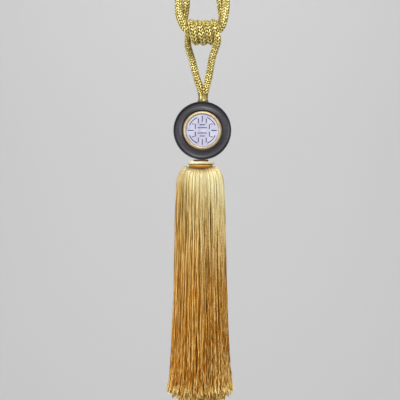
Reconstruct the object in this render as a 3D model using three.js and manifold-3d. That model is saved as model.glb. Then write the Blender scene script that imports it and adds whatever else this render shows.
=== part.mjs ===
// Curtain tieback tassel. A ring of two braided cords hangs on a hook, a third cord is wound four
// turns round the bottom of the ring, and its two ends carry a turned disc with a fretwork
// medallion and a long skirt of silky strands.
//
// Millimetres, +Z up, front towards -Y. The origin is the point of the ring that rests on the hook.
import * as THREE from 'three';
import { mergeVertices } from 'three/addons/utils/BufferGeometryUtils.js';
import Module from 'manifold-3d';

const wasm = await Module();
wasm.setup();

// ---------------------------------------------------------------- driving dimensions
const GAP = 0.3; // between two pieces that touch
const TURN = 2 * Math.PI;

const CORD_SIDES = 10;
const LOOP_CORD_DIAMETER = 7.5;
const TASSEL_CORD_DIAMETER = 7.2;
const LOOP_CORD_STEP = 3.4; // length of one straight step of a cord's tube
const TASSEL_CORD_STEP = 3.7;

// The winding: the tassel cord's turns round both loop cords.
const WINDING = { x: -10.8, z: -49.35, pitch: 7.55, radius: 8.4, lean: 70, endRise: 1.5 };
const WINDING_FROM = -0.2; // in turns, counted from the first crossing over the top
const WINDING_TO = 3.3;
const WINDING_POINTS_A_TURN = 16;

const FERRULE = { x: 0.8, top: -110.1, radius: 5.05 };
const DISC = { z: -147.4, radius: 28.8, front: -7, back: 7, floor: -3.2, recess: 20.1 };
const MEDALLION = { radius: 16.2, front: -5.3, slot: 0.8 };
const RIM = { inner: 16.5, outer: 19.6, front: -6.3 };
const FOOT = { x: -1.3, radius: 7.5, top: -175.2, bottom: -178 };
const CAP = { x: -1.35, radius: 13.05, top: -178.3, height: 2.7 };
const BINDING = { x: -1.5, radius: 12, top: -181.3, wraps: 3, wrapHeight: 1.4 };
const SKIRT = { x: -2, headTop: -185.8, headBottom: -200.5, rootTop: -196, longest: -419.7 };
const STRAND = { width: 1.65, thickness: 1.7, endRise: 15, uneven: 2.2, sway: 0.07 };

// ---------------------------------------------------------------- tables
// Stations along the middle of the pair of loop cords: from the winding up the right leg, over the
// hook, down the left leg and back. lean, in degrees, turns the outer cord towards the front.
const LOOP_STATIONS = [
  { x: 0.3, z: -49.5, lean: 70 },
  { x: 6, z: -49.3, lean: 70 },
  { x: 11.5, z: -48.4, lean: 71 },
  { x: 15.7, z: -46.5, lean: 74 },
  { x: 19.3, z: -42.2, lean: 76 },
  { x: 20.9, z: -36.2, lean: 74 },
  { x: 21.4, z: -29.7, lean: 66 },
  { x: 21.1, z: -22.7, lean: 48 },
  { x: 20.4, z: -12, lean: 34 },
  { x: 17.6, z: -2, lean: 22 },
  { x: 10.3, z: 5.3, lean: 8 },
  { x: 0.3, z: 8, lean: 0 },
  { x: -9.7, z: 5.3, lean: 0 },
  { x: -17, z: -2, lean: 0 },
  { x: -19.7, z: -12, lean: 2 },
  { x: -20, z: -21.7, lean: 8 },
  { x: -20.3, z: -27.7, lean: 26 },
  { x: -20.4, z: -33.7, lean: 55 },
  { x: -19.7, z: -39.8, lean: 78 },
  { x: -16.3, z: -45.6, lean: 77 },
  { x: -11.6, z: -48.3, lean: 71 },
  { x: -6, z: -49.3, lean: 70 },
  { x: -0.3, z: -49.5, lean: 70 },
];
const LOOP_POINTS = 66; // points of each loop cord's centreline

// The tassel cord's two legs: the left one rises behind the winding, the right one falls before it.
const LEFT_LEG = [
  { x: -1.8, y: 2.8, z: -109.5 },
  { x: -1.9, y: 2.6, z: -106.6 },
  { x: -2.9, y: 1.6, z: -102.2 },
  { x: -4.9, y: 1.6, z: -96.6 },
  { x: -6.8, y: 2.9, z: -89.4 },
  { x: -8.6, y: 4.4, z: -82.3 },
  { x: -10.6, y: 6.2, z: -74.7 },
  { x: -12.9, y: 8.6, z: -67 },
  { x: -14.6, y: 10.8, z: -60.3 },
  { x: -14.6, y: 12.1, z: -54 },
];
const RIGHT_LEG = [
  { x: 15.3, y: -12, z: -56 },
  { x: 14.9, y: -10.8, z: -60.8 },
  { x: 12.6, y: -8.6, z: -67 },
  { x: 10.1, y: -6.3, z: -74.7 },
  { x: 8.6, y: -4.6, z: -82.3 },
  { x: 7.4, y: -3.1, z: -89.4 },
  { x: 6, y: -1.8, z: -96.6 },
  { x: 4.5, y: -1.7, z: -102.2 },
  { x: 3.5, y: -2.6, z: -106.6 },
  { x: 3.4, y: -2.8, z: -109.5 },
];

// Turned profiles, r from the axis and h along it.
const DISC_PROFILE = [
  { r: 0, h: DISC.floor },
  { r: DISC.recess, h: DISC.floor },
  { r: DISC.recess, h: -6.1 },
  { r: 20.5, h: -6.55 },
  { r: 21.2, h: -6.3 },
  { r: 23.2, h: -5.1 },
  { r: 24.9, h: -4.8 },
  { r: 26.4, h: -5.4 },
  { r: 27.1, h: -6.5 },
  { r: 27.7, h: DISC.front },
  { r: 28.5, h: -6.6 },
  { r: DISC.radius, h: -5.6 },
  { r: DISC.radius, h: 5.6 },
  { r: 27.4, h: DISC.back },
  { r: 0, h: DISC.back },
];
const FERRULE_PROFILE = [
  { r: 4.7, h: 0 },
  { r: FERRULE.radius, h: -0.5 },
  { r: 4.8, h: -2.6 },
  { r: 4.75, h: -5.2 },
  { r: FERRULE.radius, h: -7.2 },
  { r: 5.6, h: -7.8 },
  { r: 5.6, h: -10 },
];
const CAP_PROFILE = [
  { r: 11.4, h: 0 },
  { r: 12.6, h: -0.35 },
  { r: CAP.radius, h: -1.35 },
  { r: 12.6, h: -2.35 },
  { r: 11.4, h: -CAP.height },
];
const HEAD_PROFILE = [
  { r: 11.3, h: SKIRT.headTop },
  { r: 15.4, h: -186.7 },
  { r: 18.6, h: -188.4 },
  { r: 21, h: -191 },
  { r: 22.5, h: -194.6 },
  { r: 23.2, h: -198 },
  { r: 23.4, h: SKIRT.headBottom },
];

// Outer radius of the hanging skirt at each height.
const SKIRT_OUTLINE = [
  { z: -196, r: 23.3 },
  { z: -216, r: 24.7 },
  { z: -258, r: 25.8 },
  { z: -296, r: 26.4 },
  { z: -334, r: 27.8 },
  { z: -372, r: 29.8 },
  { z: -392, r: 31.2 },
  { z: -420, r: 33.6 },
];

// Rings of strands, share of the outer radius and straight pieces in one strand.
const STRAND_RINGS = [
  { share: 0.962, count: 62, pieces: 5 },
  { share: 0.83, count: 48, pieces: 2 },
  { share: 0.7, count: 38, pieces: 2 },
  { share: 0.57, count: 28, pieces: 1 },
  { share: 0.44, count: 20, pieces: 1 },
  { share: 0.3, count: 12, pieces: 1 },
  { share: 0.15, count: 5, pieces: 1 },
];

// Slots through the medallion. Straight ones are repeated in all four quarters, arcs four times.
const STRAIGHT_SLOTS = [
  { x: 0, z: 11.6, width: MEDALLION.slot, height: 6 },
  { x: 11.6, z: 0, width: 6, height: MEDALLION.slot },
  { x: 0, z: 2.6, width: 9.4, height: MEDALLION.slot },
  { x: 0, z: 5.6, width: 5.4, height: MEDALLION.slot },
  { x: 7, z: 3.7, width: MEDALLION.slot, height: 5 },
  { x: 3.9, z: 9.4, width: MEDALLION.slot, height: 4.6 },
  { x: 9.2, z: 6.4, width: 2.4, height: MEDALLION.slot },
];
const ARC_SLOTS = [{ radius: 13.6, from: 21, degrees: 48 }]; // from and degrees are angles
const ARC_STEPS = 4;
const SLOT_DEPTH = 8; // more than the plate's thickness, so a slot goes right through

// ---------------------------------------------------------------- helpers
const radians = (degrees) => THREE.MathUtils.degToRad(degrees);

function turned(profile, segments) {
  const points = profile.map((row) => new THREE.Vector2(row.r, row.h));
  return new THREE.LatheGeometry(points, segments);
}

// A turned solid that stands on the Z axis: its profile runs downwards and closes on the axis.
function turnedUpright(profile, segments) {
  const ends = [profile[profile.length - 1], profile[0]].map((row) => ({ r: 0, h: row.h }));
  return turned([ends[0], ...[...profile].reverse(), ends[1]], segments).rotateX(Math.PI / 2);
}

function solidOf(geometry) {
  const bare = geometry.clone();
  bare.deleteAttribute('normal');
  bare.deleteAttribute('uv');
  const merged = mergeVertices(bare, 1e-4);
  const mesh = new wasm.Mesh({
    numProp: 3,
    vertProperties: new Float32Array(merged.attributes.position.array),
    triVerts: new Uint32Array(merged.index.array),
  });
  return new wasm.Manifold(mesh);
}

function geometryOf(solid) {
  const { vertProperties, triVerts } = solid.getMesh();
  const geometry = new THREE.BufferGeometry();
  geometry.setAttribute('position', new THREE.BufferAttribute(vertProperties, 3));
  geometry.setIndex(new THREE.BufferAttribute(triVerts, 1));
  geometry.computeVertexNormals();
  return geometry;
}

function part(name, geometry, material) {
  const mesh = new THREE.Mesh(geometry, material);
  mesh.name = name;
  return mesh;
}

// A cord of round section along a smooth curve through the points.
function cord(points, diameter, step) {
  const curve = new THREE.CatmullRomCurve3(points, false, 'catmullrom', 0.5);
  const section = new THREE.Shape();
  for (let side = 0; side < CORD_SIDES; side += 1) {
    const angle = (TURN * side) / CORD_SIDES;
    const corner = [Math.cos(angle) * diameter / 2, Math.sin(angle) * diameter / 2];
    if (side === 0) section.moveTo(...corner);
    else section.lineTo(...corner);
  }
  const steps = Math.round(curve.getLength() / step);
  return new THREE.ExtrudeGeometry(section, { steps, bevelEnabled: false, extrudePath: curve });
}

// An uneven value from -1 to 1 that is always the same for the same number.
function uneven(number) {
  const wave = Math.sin(number * 12.9898) * 437.585;
  return 2 * (wave - Math.floor(wave)) - 1;
}

// ---------------------------------------------------------------- loop cords
// Both cords follow the stations, one on each side of them, half a cord and half a gap away.
// side is 1 for the outer cord and -1 for the inner one.
function loopCordPoints(side) {
  const rows = LOOP_STATIONS.map((row) => new THREE.Vector3(row.x, row.lean, row.z));
  const middle = new THREE.CatmullRomCurve3(rows, false, 'catmullrom', 0.5);
  const offset = (side * (LOOP_CORD_DIAMETER + GAP)) / 2;
  const points = [];
  for (let k = 0; k <= LOOP_POINTS; k += 1) {
    const at = middle.getPoint(k / LOOP_POINTS);
    const along = middle.getTangent(k / LOOP_POINTS);
    const outward = new THREE.Vector2(along.z, -along.x).normalize();
    const lean = radians(at.y);
    const out = offset * Math.cos(lean);
    const forward = offset * Math.sin(lean);
    points.push(new THREE.Vector3(at.x + out * outward.x, -forward, at.z + out * outward.y));
  }
  return points;
}

// ---------------------------------------------------------------- tassel cord
// One point of the winding. turn is 0 over the top, a quarter at the front, a half underneath.
// The turn is a circle pulled apart by the distance between the loop cords, and leans with them.
function windingPoint(turn) {
  const angle = TURN * turn;
  const spread = (LOOP_CORD_DIAMETER + GAP) / 2;
  const forward = WINDING.radius * Math.sin(angle)
    + spread * THREE.MathUtils.clamp(3 * Math.sin(angle), -1, 1);
  const up = WINDING.radius * Math.cos(angle);
  const lean = radians(90 - WINDING.lean);
  const x = WINDING.x + WINDING.pitch * (turn + (1 - Math.cos(angle)) / 12);
  const rise = WINDING.endRise * (x / WINDING.x) ** 2;
  const y = -forward * Math.cos(lean) - up * Math.sin(lean);
  const z = WINDING.z + rise - forward * Math.sin(lean) + up * Math.cos(lean);
  return new THREE.Vector3(x, y, z);
}

function tasselCordPoints() {
  const vector = (row) => new THREE.Vector3(row.x, row.y, row.z);
  const steps = Math.round((WINDING_TO - WINDING_FROM) * WINDING_POINTS_A_TURN);
  const winding = [];
  for (let k = 0; k <= steps; k += 1) {
    winding.push(windingPoint(WINDING_FROM + ((WINDING_TO - WINDING_FROM) * k) / steps));
  }
  return [...LEFT_LEG.map(vector), ...winding, ...RIGHT_LEG.map(vector)];
}

// ---------------------------------------------------------------- ferrule, disc, foot, cap, binding
// What stands on the disc's round edge is cut to its curve.
function seatedOnDisc(geometry) {
  const edge = new THREE.CylinderGeometry(DISC.radius + GAP, DISC.radius + GAP, 40, 96);
  edge.translate(0, 0, DISC.z);
  return geometryOf(solidOf(geometry).subtract(solidOf(edge)));
}

function ferrule() {
  const blank = turnedUpright(FERRULE_PROFILE, 28);
  return seatedOnDisc(blank.translate(FERRULE.x, 0, FERRULE.top));
}

function foot() {
  const profile = [
    { r: FOOT.radius - 0.5, h: FOOT.top },
    { r: FOOT.radius, h: FOOT.top - 0.5 },
    { r: FOOT.radius, h: FOOT.bottom + 0.5 },
    { r: FOOT.radius - 0.5, h: FOOT.bottom },
  ];
  return seatedOnDisc(turnedUpright(profile, 32).translate(FOOT.x, 0, 0));
}

function binding() {
  const profile = [{ r: BINDING.radius - 0.5, h: 0 }];
  for (let wrap = 0; wrap < BINDING.wraps; wrap += 1) {
    const top = -wrap * BINDING.wrapHeight;
    profile.push({ r: BINDING.radius, h: top - BINDING.wrapHeight * 0.3 });
    profile.push({ r: BINDING.radius, h: top - BINDING.wrapHeight * 0.7 });
    profile.push({ r: BINDING.radius - 0.5, h: top - BINDING.wrapHeight });
  }
  return turnedUpright(profile, 32).translate(BINDING.x, 0, BINDING.top);
}

// ---------------------------------------------------------------- medallion
function medallionRim() {
  const section = [
    { r: RIM.inner, h: DISC.floor - GAP },
    { r: RIM.inner, h: RIM.front + 0.7 },
    { r: RIM.inner + 0.8, h: RIM.front },
    { r: RIM.outer - 0.8, h: RIM.front },
    { r: RIM.outer, h: RIM.front + 0.7 },
    { r: RIM.outer, h: DISC.floor - GAP },
    { r: RIM.inner, h: DISC.floor - GAP },
  ];
  return turned(section, 56).translate(0, 0, DISC.z);
}

function straightSlot(row, across, up) {
  const slot = new THREE.BoxGeometry(row.width, SLOT_DEPTH, row.height);
  return slot.translate(row.x * across, MEDALLION.front, row.z * up);
}

function arcSlot(row, quarter) {
  const slot = new THREE.Shape();
  slot.absarc(0, 0, row.radius + MEDALLION.slot / 2, 0, radians(row.degrees), false);
  slot.absarc(0, 0, row.radius - MEDALLION.slot / 2, radians(row.degrees), 0, true);
  const options = { depth: SLOT_DEPTH, bevelEnabled: false, curveSegments: ARC_STEPS };
  const geometry = new THREE.ExtrudeGeometry(slot, options);
  geometry.rotateZ(radians(row.from + 90 * quarter));
  return geometry.rotateX(Math.PI / 2);
}

function medallion() {
  const depth = DISC.floor - GAP - MEDALLION.front;
  const plate = new THREE.CylinderGeometry(MEDALLION.radius, MEDALLION.radius, depth, 48);
  const slots = [];
  for (const row of STRAIGHT_SLOTS) {
    for (const [across, up] of [[1, 1], [-1, 1], [-1, -1], [1, -1]]) {
      slots.push(solidOf(straightSlot(row, across, up)));
    }
  }
  for (const row of ARC_SLOTS) {
    for (let quarter = 0; quarter < 4; quarter += 1) slots.push(solidOf(arcSlot(row, quarter)));
  }
  const uncut = solidOf(plate.translate(0, MEDALLION.front + depth / 2, 0));
  const cut = uncut.subtract(wasm.Manifold.union(slots));
  return geometryOf(cut).translate(0, 0, DISC.z);
}

// ---------------------------------------------------------------- skirt
// The skirt's outer radius at a height, by straight lines between the rows of its outline.
function skirtRadius(z) {
  const next = Math.max(1, SKIRT_OUTLINE.findIndex((row) => row.z <= z));
  const [above, below] = [SKIRT_OUTLINE[next - 1], SKIRT_OUTLINE[next]];
  return THREE.MathUtils.mapLinear(z, above.z, below.z, above.r, below.r);
}

// One strand: a box, bent so that it keeps its share of the skirt's radius and of its width all
// the way down.
function strand(ring, place, number) {
  const angle = (TURN / ring.count) * (place + STRAND.sway * uneven(number));
  const rise = STRAND.endRise * ring.share ** 2;
  const end = SKIRT.longest + rise + STRAND.uneven * uneven(number + 0.5);
  const length = SKIRT.rootTop - end;
  const box = new THREE.BoxGeometry(STRAND.thickness, STRAND.width, length, 1, 1, ring.pieces);
  const position = box.attributes.position;
  for (let k = 0; k < position.count; k += 1) {
    const z = position.getZ(k) + (SKIRT.rootTop + end) / 2;
    const outer = skirtRadius(z);
    const radius = ring.share * outer + position.getX(k);
    const across = (position.getY(k) * outer) / SKIRT_OUTLINE[0].r;
    position.setXYZ(
      k,
      SKIRT.x + radius * Math.cos(angle) - across * Math.sin(angle),
      radius * Math.sin(angle) + across * Math.cos(angle),
      z,
    );
  }
  return box;
}

function skirt() {
  const solids = [solidOf(turnedUpright(HEAD_PROFILE, 36).translate(SKIRT.x, 0, 0))];
  for (const ring of STRAND_RINGS) {
    for (let place = 0; place < ring.count; place += 1) {
      solids.push(solidOf(strand(ring, place, solids.length)));
    }
  }
  return geometryOf(wasm.Manifold.union(solids));
}

// ---------------------------------------------------------------- materials
const GOLD_BRAID = new THREE.MeshStandardMaterial({ color: 0xbfa35c, roughness: 0.45, metalness: 0.2 });
const GOLD_METAL = new THREE.MeshStandardMaterial({ color: 0xd8c088, roughness: 0.3, metalness: 0.9 });
const BLACK_WOOD = new THREE.MeshStandardMaterial({ color: 0x2c2a2d, roughness: 0.35, metalness: 0 });
const PALE_FRET = new THREE.MeshStandardMaterial({ color: 0xc9c9dc, roughness: 0.4, metalness: 0.1 });
const AMBER_THREAD = new THREE.MeshStandardMaterial({ color: 0xb98a3a, roughness: 0.5, metalness: 0.1 });
const SILK = new THREE.MeshStandardMaterial({ color: 0xb78c4c, roughness: 0.4, metalness: 0.1 });

// ---------------------------------------------------------------- the tieback
const tieback = new THREE.Group();
tieback.name = 'curtain_tieback_tassel';
tieback.add(
  part('loop_cord_outer', cord(loopCordPoints(1), LOOP_CORD_DIAMETER, LOOP_CORD_STEP), GOLD_BRAID),
  part('loop_cord_inner', cord(loopCordPoints(-1), LOOP_CORD_DIAMETER, LOOP_CORD_STEP), GOLD_BRAID),
  part('tassel_cord', cord(tasselCordPoints(), TASSEL_CORD_DIAMETER, TASSEL_CORD_STEP), GOLD_BRAID),
  part('neck_ferrule', ferrule(), GOLD_METAL),
  part('disc', turned(DISC_PROFILE, 56).translate(0, 0, DISC.z), BLACK_WOOD),
  part('medallion_rim', medallionRim(), GOLD_METAL),
  part('medallion', medallion(), PALE_FRET),
  part('disc_foot', foot(), BLACK_WOOD),
  part('skirt_cap', turnedUpright(CAP_PROFILE, 36).translate(CAP.x, 0, CAP.top), GOLD_METAL),
  part('skirt_binding', binding(), AMBER_THREAD),
  part('skirt', skirt(), SILK),
);

export default tieback;
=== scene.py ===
# %% [markdown]
# # A curtain tieback with a tassel
# Two braided cords make a ring that hangs on a hook. A third cord is wound four turns round the
# bottom of the ring, and its two ends carry a turned black disc with a pale fretwork medallion.
# Under the disc a gold cap and a wound binding hold a long skirt of silky threads.
#
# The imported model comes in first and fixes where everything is. All pieces share its frame:
# metres, +Z up, the front towards -Y, and the origin where the ring rests on its hook.

# %% Load the frame
import math

import bmesh
import bpy
import numpy as np
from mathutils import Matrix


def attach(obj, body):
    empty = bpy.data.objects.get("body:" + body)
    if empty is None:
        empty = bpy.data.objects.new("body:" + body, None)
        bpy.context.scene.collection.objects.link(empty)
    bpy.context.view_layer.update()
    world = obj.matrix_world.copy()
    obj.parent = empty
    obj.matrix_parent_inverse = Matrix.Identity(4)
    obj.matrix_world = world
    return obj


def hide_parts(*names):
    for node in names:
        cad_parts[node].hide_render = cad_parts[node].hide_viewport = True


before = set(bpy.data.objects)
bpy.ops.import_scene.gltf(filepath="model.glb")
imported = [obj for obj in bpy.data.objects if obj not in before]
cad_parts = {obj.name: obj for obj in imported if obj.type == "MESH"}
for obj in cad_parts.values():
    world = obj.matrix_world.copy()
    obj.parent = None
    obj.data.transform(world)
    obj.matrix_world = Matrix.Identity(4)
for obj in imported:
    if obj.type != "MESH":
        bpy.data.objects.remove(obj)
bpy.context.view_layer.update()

MM = 0.001
TURN = 2 * math.pi
SEED = 7
rng = np.random.default_rng(SEED)
print("nodes:", sorted(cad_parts))

# %% [markdown]
# ## The camera
# The tieback is seen straight from the front, and the top of the ring is outside the view. The
# camera stands 1.2 m away, and its view spans 400 mm there.

# %% Set the camera
CAMERA_AWAY = 1.2
VIEW_SPAN = 0.4
VIEW_MIDDLE = (-0.0023, -0.2167)  # x and z
SENSOR_MM = 36

camera = bpy.data.objects.new("camera", bpy.data.cameras.new("camera"))
camera.location = (VIEW_MIDDLE[0], -CAMERA_AWAY, VIEW_MIDDLE[1])
camera.rotation_euler = (math.pi / 2, 0, 0)
camera.data.sensor_width = SENSOR_MM
camera.data.lens = SENSOR_MM * CAMERA_AWAY / VIEW_SPAN
bpy.context.scene.collection.objects.link(camera)
bpy.context.scene.camera = camera
print("lens", round(camera.data.lens, 1), "mm")

# %% [markdown]
# ## Helpers for meshes
# Cords, threads and wound bindings are all tubes, and a tube is a grid of points, so one function
# turns a whole array of grids into one mesh. The skirt has nearly two hundred thousand faces,
# and arrays make them in a moment, where a loop over vertices would be slow.


# %% Put a mesh in the scene
def show(name, mesh):
    """An object at the origin for the mesh. Prints its number of faces."""
    piece = bpy.data.objects.new(name, mesh)
    bpy.context.scene.collection.objects.link(piece)
    print(name, "has", len(mesh.polygons), "faces")
    return piece


# %% Faces of many tubes
def tube_faces(tubes, stations, sides):
    """The points are numbered by tube, then station, then side. A quad joins a point to the next
    side and the next station, and one flat face closes each end of a tube."""
    index = np.arange(tubes * stations * sides).reshape(tubes, stations, sides)
    after = np.roll(index, -1, axis=2)
    quads = np.stack([index[:, :-1], after[:, :-1], after[:, 1:], index[:, 1:]], axis=-1)
    ends = np.concatenate([index[:, 0, ::-1], index[:, -1, :]])
    return quads.reshape(-1, 4), ends


def tube_uv(along, sides, ends):
    """u and v for each corner: u goes once round a tube, v is along, and the end faces get 0."""
    tubes, stations = along.shape
    turn = np.arange(sides + 1) / sides
    u = np.stack([turn[:-1], turn[1:], turn[1:], turn[:-1]], -1)
    v = np.stack([along[:, :-1], along[:, :-1], along[:, 1:], along[:, 1:]], -1)
    u = np.broadcast_to(u, (tubes, stations - 1, sides, 4))
    v = np.broadcast_to(v[:, :, None, :], u.shape)
    return np.concatenate([np.stack([u, v], -1).ravel(), np.zeros(2 * ends.size)])


# %% Many tubes in one mesh
def tubes_mesh(name, rings, along, **values):
    """One mesh of closed tubes through rings[tube, station, side]. Each of the values is an
    attribute with a number for each tube, or for each station or each point of it."""
    tubes, stations, sides, _ = rings.shape
    quads, ends = tube_faces(tubes, stations, sides)
    sizes = np.concatenate([np.full(len(quads), 4), np.full(len(ends), sides)])
    mesh = bpy.data.meshes.new(name)
    mesh.vertices.add(tubes * stations * sides)
    mesh.vertices.foreach_set("co", rings.reshape(-1).astype(np.float32))
    mesh.loops.add(quads.size + ends.size)
    mesh.loops.foreach_set("vertex_index", np.concatenate([quads.ravel(), ends.ravel()]))
    mesh.polygons.add(len(sizes))
    mesh.polygons.foreach_set("loop_start", np.concatenate([[0], np.cumsum(sizes)[:-1]]))
    mesh.polygons.foreach_set("use_smooth", np.arange(len(sizes)) < len(quads))
    mesh.update(calc_edges=True)
    uv = tube_uv(along, sides, ends)
    mesh.uv_layers.new(name="UVMap").data.foreach_set("uv", uv.astype(np.float32))
    for key, value in values.items():
        value = value.reshape(value.shape + (1,) * (3 - value.ndim))
        value = np.broadcast_to(value, (tubes, stations, sides)).ravel()
        layer = mesh.attributes.new(key, "FLOAT", "POINT")
        layer.data.foreach_set("value", value.astype(np.float32))
    mesh.validate()
    return show(name, mesh)


# %% Frames along many lines at once
TINY = 1e-12


def unit(vectors):
    """Each vector divided by its own length."""
    return vectors / np.maximum(np.linalg.norm(vectors, axis=-1, keepdims=True), TINY)


def frames(lines, reference):
    """Along, side and rise at each point of lines: along is the slope of the line, side is the
    reference with its share of along taken off, and rise is square to both."""
    along = unit(np.gradient(lines, axis=-2))
    side = unit(reference - (reference * along).sum(-1, keepdims=True) * along)
    return along, side, np.cross(along, side)


def tube_rings(lines, reference, half_width, half_height, sides):
    """Rings round lines: centre + half_width cos(a) side + half_height sin(a) rise."""
    _, side, rise = frames(lines, reference)
    angle = TURN * np.arange(sides) / sides
    width = np.broadcast_to(half_width, lines.shape[:-1])[..., None, None]
    height = np.broadcast_to(half_height, lines.shape[:-1])[..., None, None]
    return (
        lines[..., None, :]
        + width * np.cos(angle)[:, None] * side[..., None, :]
        + height * np.sin(angle)[:, None] * rise[..., None, :]
    )


# %% Smooth curves through points
def smooth_route(points, count):
    """A uniform Catmull-Rom curve through the points, sampled count times: between two points it
    is the cubic whose slope at each is half the way from the point before to the point after."""
    p = np.asarray(points, float)
    p = np.vstack([2 * p[0] - p[1], p, 2 * p[-1] - p[-2]])
    t = np.linspace(0, len(p) - 3, count)
    k = np.minimum(t.astype(int), len(p) - 4)
    f = (t - k)[:, None]
    a, b, c, d = p[k], p[k + 1], p[k + 2], p[k + 3]
    cubic = 2 * b + (c - a) * f + (2 * a - 5 * b + 4 * c - d) * f**2 + (3 * b - a - 3 * c + d) * f**3
    return cubic / 2


def even_steps(line, step):
    """The same line with points a fixed step apart, and the distance run at each."""
    run = np.concatenate([[0], np.cumsum(np.linalg.norm(np.diff(line, axis=0), axis=1))])
    at = np.linspace(0, run[-1], max(2, round(run[-1] / step) + 1))
    return np.stack([np.interp(at, run, line[:, k]) for k in range(3)], -1), at


def eased(line, step, reach):
    """Each point moved to the bell-weighted mean of its neighbours, up to three reaches away, so
    that a cord bends and doesn't kink. Past an end the line goes on, turned about its end point."""
    even, _ = even_steps(line, step)
    wide = round(3 * reach / step)
    bell = np.exp(-0.5 * (np.arange(-wide, wide + 1) * step / reach) ** 2)
    before = 2 * even[0] - even[wide:0:-1]
    after = 2 * even[-1] - even[-2:-wide - 2:-1]
    longer = np.vstack([before, even, after])
    return np.stack([np.convolve(longer[:, k], bell / bell.sum(), "valid") for k in range(3)], -1)


# %% [markdown]
# ## The cords
# All three cords are the same: ten strands run one way round and ten the other, each over two
# and under two. The ring's two cords are taken along the middle of the pair, half a cord to each
# side, and they swing one behind the other where they go into the winding. The tassel cord comes
# up behind the winding on the left and leaves it in front on the right.

# %% The ring's route
LOOP_CORD = 7.5 * MM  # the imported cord; its braid adds a little
CORD_GAP = 0.3 * MM
LOOP_STATIONS = [  # x and z in millimetres, and how far the outer cord swings forward, in degrees
    (0.3, -49.5, 70), (6, -49.3, 70), (11.5, -48.4, 71), (15.7, -46.5, 74), (19.3, -42.2, 76),
    (20.9, -36.2, 74), (21.4, -29.7, 66), (21.1, -22.7, 48), (20.4, -12, 34), (17.6, -2, 22),
    (10.3, 5.3, 8), (0.3, 8, 0), (-9.7, 5.3, 0), (-17, -2, 0), (-19.7, -12, 2), (-20, -21.7, 8),
    (-20.3, -27.7, 26), (-20.4, -33.7, 55), (-19.7, -39.8, 78), (-16.3, -45.6, 77),
    (-11.6, -48.3, 71), (-6, -49.3, 70), (-0.3, -49.5, 70),
]
LOOP_POINTS = 67


def loop_route(side):
    """The middle of the pair, moved half a cord outwards and forwards by the lean angle."""
    middle = smooth_route(LOOP_STATIONS, LOOP_POINTS)
    slope = np.gradient(middle[:, :2], axis=0)
    outward = unit(np.stack([slope[:, 1], -slope[:, 0]], -1))
    lean = np.radians(middle[:, 2])
    offset = side * (LOOP_CORD + CORD_GAP) / 2
    x = middle[:, 0] * MM + offset * np.cos(lean) * outward[:, 0]
    z = middle[:, 1] * MM + offset * np.cos(lean) * outward[:, 1]
    return np.stack([x, -offset * np.sin(lean), z], -1)


# %% The tassel cord's measures
WINDING_X = -10.8
WINDING_Z = -49.35
WINDING_PITCH = 7.55
WINDING_RADIUS = 8.4
WINDING_LEAN = 70  # degrees, as the ring's cords lean there
WINDING_END_RISE = 0.7
WINDING_TURNS = (-0.2, 3.3)
POINTS_A_TURN = 16
LEFT_LEG = [  # x, y and z in millimetres, upwards
    (-1.5, 2.4, -111.3), (-1.8, 2.8, -109.0), (-1.9, 2.6, -106.6), (-2.9, 1.6, -102.2),
    (-4.9, 1.6, -96.6), (-6.8, 2.9, -89.4), (-8.6, 4.4, -82.3), (-10.6, 6.2, -74.7),
    (-12.9, 8.6, -67), (-14.6, 10.8, -60.3), (-14.6, 12.1, -54),
]
RIGHT_LEG = [  # downwards
    (15.3, -12, -56), (14.9, -10.8, -60.8), (12.6, -8.6, -67), (10.1, -6.3, -74.7),
    (8.6, -4.6, -82.3), (7.4, -3.1, -89.4), (6, -1.8, -96.6), (4.5, -1.7, -102.2),
    (3.5, -2.6, -106.6), (3.4, -2.8, -109.0), (3.1, -2.4, -111.3),
]


# %% The tassel cord's route
def winding_route():
    """Turns of a circle pulled apart by the distance between the ring's cords, leaning with them:
    forward = radius sin(a) + spread clamp(3 sin(a)), up = radius cos(a), while x moves on by the
    pitch each turn. The twelfth of 1 - cos(a) puts two thirds of that at the front."""
    first, last = WINDING_TURNS
    turn = np.linspace(first, last, round((last - first) * POINTS_A_TURN) + 1)
    angle = TURN * turn
    spread = (LOOP_CORD + CORD_GAP) / MM / 2
    forward = WINDING_RADIUS * np.sin(angle) + spread * np.clip(3 * np.sin(angle), -1, 1)
    up = WINDING_RADIUS * np.cos(angle)
    lean = math.radians(90 - WINDING_LEAN)
    x = WINDING_X + WINDING_PITCH * (turn + (1 - np.cos(angle)) / 12)
    y = -forward * math.cos(lean) - up * math.sin(lean)
    z = WINDING_Z + WINDING_END_RISE * (x / WINDING_X) ** 2
    z = z - forward * math.sin(lean) + up * math.cos(lean)
    return np.stack([x, y, z], -1)


tassel_points = np.vstack([LEFT_LEG, winding_route(), RIGHT_LEG]) * MM
print("tassel cord route has", len(tassel_points), "points")

# %% [markdown]
# A braid could be a bump on a plain tube, but its outline would stay smooth, and the glints that
# make gold cord sparkle come from strands that really turn. So each strand is a flat tube of its
# own. A strand's angle round the cord grows evenly along it, and it rides high in one column
# and low in the next, ten columns round, which gives the herringbone.

# %% The braid's measures
BRAID_LEAD = 3.5  # the length in which a strand goes once round, in diameters
BRAID_STEP = 0.7 * MM
EASE = 1.8 * MM
STRAND_SIDES = 5
STRANDS_EACH_WAY = 10
SQUARENESS = 2.2
STRAND_MIDDLE = 0.72  # this and the next four are shares of half the cord's thickness
STRAND_SWING = 0.13
STRAND_WIDE = 0.195
STRAND_HIGH = 0.15
CORE = 0.6


# %% Braid a cord
def strand_shade(wave):
    """Each strand's painted light and shade: its own brightness x crown x high to the power 0.8.
    Crown is 1 on top of the strand, and high goes from 0, where it dips under the others, to 1."""
    crown = (1 - np.sin(TURN * np.arange(STRAND_SIDES) / STRAND_SIDES)) / 2
    own = rng.uniform(0.8, 1.2, (len(wave), 1, 1))
    return own * crown * (0.5 + 0.5 * wave[..., None]) ** 0.8


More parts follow.
